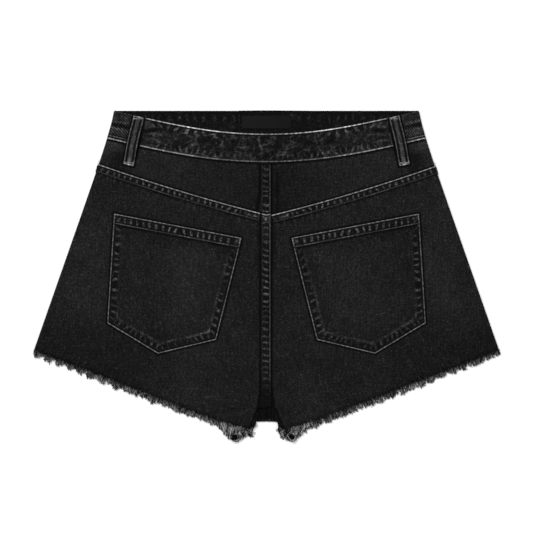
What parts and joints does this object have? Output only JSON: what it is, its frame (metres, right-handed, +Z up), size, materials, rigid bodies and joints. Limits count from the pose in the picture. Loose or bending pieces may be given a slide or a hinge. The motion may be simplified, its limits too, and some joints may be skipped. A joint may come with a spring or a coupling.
{
  "type": "denim shorts",
  "caption": "Cut-off denim shorts laid flat with the back up: yoke, patch pockets, belt loops, waistband and frayed hems",
  "frame": {"origin": "Centre of the garment's outline on the surface it lies on, in metres", "axes": "+X to the right as one looks down on the back, +Y towards the waist, +Z up off the surface"},
  "size_m": [0.5348, 0.3802, 0.0139],
  "materials": {
    "denim": "washed black denim, worn along its seams",
    "label_satin": "dark satin, bare",
    "button_metal": "dark, worn",
    "frayed_thread": "loose cotton threads, grey"
  },
  "bodies": {
    "root": {"waistband_back": "denim", "waistband_front_left": "denim", "waistband_front_right": "denim", "yoke_left": "denim", "yoke_right": "denim", "back_left": "denim", "back_right": "denim", "front_left": "denim", "front_right": "denim", "pocket_left": "denim", "pocket_right": "denim", "belt_loop_left": "denim", "belt_loop_right": "denim", "label": "label_satin", "button": "button_metal", "fray_back_left": "frayed_thread", "fray_back_right": "frayed_thread", "fray_front_left": "frayed_thread", "fray_front_right": "frayed_thread"}
  },
  "joints": []
}
